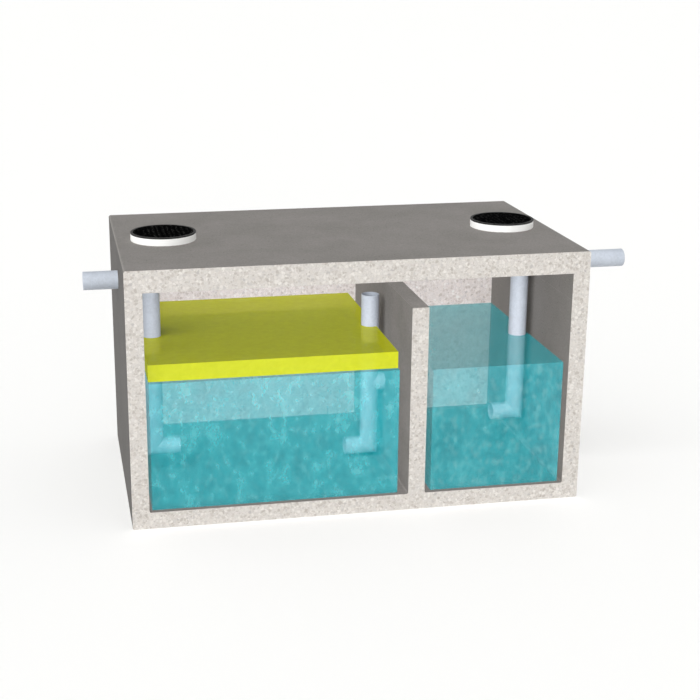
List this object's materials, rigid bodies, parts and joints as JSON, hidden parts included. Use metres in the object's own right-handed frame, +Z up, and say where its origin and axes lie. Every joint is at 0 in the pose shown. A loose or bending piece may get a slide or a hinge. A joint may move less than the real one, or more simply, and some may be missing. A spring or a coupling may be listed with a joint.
{
  "type": "grease trap",
  "caption": "Sectioned concrete grease trap: a chamber with a floating grease layer, a baffle, a clear water chamber, dropped pipes and round access covers.",
  "frame": {"origin": "centre of the tank's flat underside, without the pipe stubs", "axes": "+X from the inlet end to the outlet end, +Y from the open section plane to the back wall, +Z up"},
  "size_m": [5.161, 2.39, 2.417],
  "materials": {
    "concrete": "sawn aggregate on the section, cast grey elsewhere",
    "joint_sealant": "matte butyl",
    "white_plastic": "moulded, satin",
    "frame_iron": "bare casting, worn",
    "cover_iron": "black bitumen dip",
    "seal_rubber": "matte",
    "pipe_plastic": "extruded, satin",
    "water": "cloudy",
    "grease": "cloudy, dense"
  },
  "bodies": {
    "root": {"tank_body": "concrete", "top_slab": "concrete", "slab_joint_strip": "joint_sealant", "inlet_riser_ring": "white_plastic", "outlet_riser_ring": "white_plastic", "inlet_ring_seal": "seal_rubber", "outlet_ring_seal": "seal_rubber", "inlet_cover_frame": "frame_iron", "outlet_cover_frame": "frame_iron", "inlet_cover_gasket": "seal_rubber", "outlet_cover_gasket": "seal_rubber", "inlet_cover": "cover_iron", "outlet_cover": "cover_iron", "inlet_wall_seal": "seal_rubber", "outlet_wall_seal": "seal_rubber", "baffle_seal": "seal_rubber", "inlet_pipe": "pipe_plastic", "inlet_tee": "pipe_plastic", "inlet_drop_pipe": "pipe_plastic", "inlet_elbow": "pipe_plastic", "transfer_riser": "pipe_plastic", "transfer_tee": "pipe_plastic", "transfer_drop_pipe": "pipe_plastic", "transfer_elbow": "pipe_plastic", "crossover_pipe": "pipe_plastic", "outlet_pipe": "pipe_plastic", "outlet_tee": "pipe_plastic", "outlet_drop_pipe": "pipe_plastic", "outlet_elbow": "pipe_plastic", "first_chamber_water": "water", "grease_layer": "grease", "second_chamber_water": "water"}
  },
  "joints": []
}
